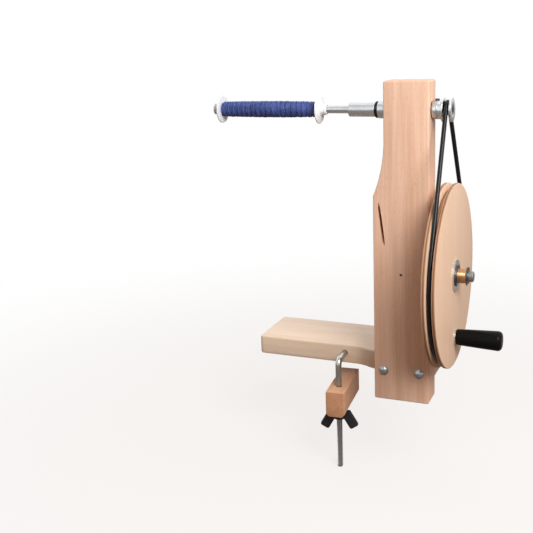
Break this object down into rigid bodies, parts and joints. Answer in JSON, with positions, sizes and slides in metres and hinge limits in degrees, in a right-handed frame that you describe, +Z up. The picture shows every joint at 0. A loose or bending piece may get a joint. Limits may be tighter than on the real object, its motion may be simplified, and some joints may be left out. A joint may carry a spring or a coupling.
{
  "type": "bobbin winder",
  "caption": "Hand-cranked wooden bobbin winder: a bench clamp base and post carry a belt-driven spindle, turned by a grooved wheel with a crank handle.",
  "frame": {"origin": "middle of the base plate's underside, which rests on the bench top", "axes": "+X along the spindle from the bobbin towards the wheel, +Y from the operator across the bench, +Z up"},
  "size_m": [0.2816, 0.1742, 0.3875],
  "materials": {
    "beech": "oiled straight-grained beech",
    "beech_base": "oiled pale beech",
    "wheel_ply": "turned beech plywood, oiled",
    "bright_steel": "turned steel",
    "zinc": "bright zinc plate",
    "dark_steel": "blackened spring steel",
    "bronze": "turned bronze",
    "black_plastic": "gloss black",
    "matte_black": "moulded matte black",
    "rubber": "smooth black rubber",
    "white_plastic": "white moulded plastic",
    "yarn": "navy blue yarn"
  },
  "bodies": {
    "frame": {"base_plate": "beech_base", "post": "beech", "post_screws": "zinc", "bearing_outer_rings": "bright_steel", "bearing_balls": "bright_steel", "drive_belt": "rubber", "wheel_axle": "bright_steel", "axle_spacer": "bright_steel", "axle_clip": "dark_steel", "axle_lock_pin": "dark_steel"},
    "wheel": {"drive_wheel": "wheel_ply", "wheel_bush": "bronze", "wheel_washer": "zinc", "bush_clip": "dark_steel", "handle_pin": "bright_steel", "handle_nut": "zinc", "handle_washer": "zinc"},
    "grip": {"handle_grip": "black_plastic"},
    "spindle": {"spindle_shaft": "bright_steel", "bearing_inner_rings": "bright_steel", "spindle_ring": "rubber", "spindle_collar": "bright_steel", "collar_grub_screw": "dark_steel", "pulley": "zinc", "pulley_grub_screw": "dark_steel", "pulley_end_screw": "zinc"},
    "bobbin": {"bobbin": "white_plastic", "yarn_core": "yarn", "yarn_winding": "yarn"},
    "hook": {"hook_bolt": "bright_steel"},
    "clamp": {"clamp_block": "beech"},
    "wing_nut": {"wing_nut": "matte_black", "wing_nut_insert": "bright_steel"}
  },
  "joints": [
    {"name": "wheel_turn", "type": "hinge", "parent": "frame", "child": "wheel", "pos_m": [0.109, -0.05525, 0.106], "axis": [1, 0, 0], "continuous": true},
    {"name": "grip_spin", "type": "hinge", "parent": "wheel", "child": "grip", "pos_m": [0.1377, -0.05525, 0.047], "axis": [1, 0, 0], "continuous": true},
    {"name": "spindle_turn", "type": "hinge", "parent": "frame", "child": "spindle", "pos_m": [0.0725, -0.05525, 0.258], "axis": [1, 0, 0], "continuous": true},
    {"name": "bobbin_off", "type": "slide", "parent": "spindle", "child": "bobbin", "axis": [-1, 0, 0], "range_m": [0, 0.12]},
    {"name": "hook_swing", "type": "hinge", "parent": "frame", "child": "hook", "pos_m": [0, -0.034, 0.0105], "axis": [0, 1, 0], "range_deg": [-30, 30]},
    {"name": "clamp_travel", "type": "slide", "parent": "hook", "child": "clamp", "axis": [0, 0, -1], "range_m": [0, 0.03]},
    {"name": "wing_nut_turn", "type": "hinge", "parent": "clamp", "child": "wing_nut", "pos_m": [0, -0.0545, -0.047], "axis": [0, 0, -1], "range_deg": [0, 10800]}
  ],
  "couplings": [
    {"joint": "spindle_turn", "follows": "wheel_turn", "ratio": 11.5},
    {"joint": "wing_nut_turn", "follows": "clamp_travel", "rad_per_m": 6283.2}
  ]
}
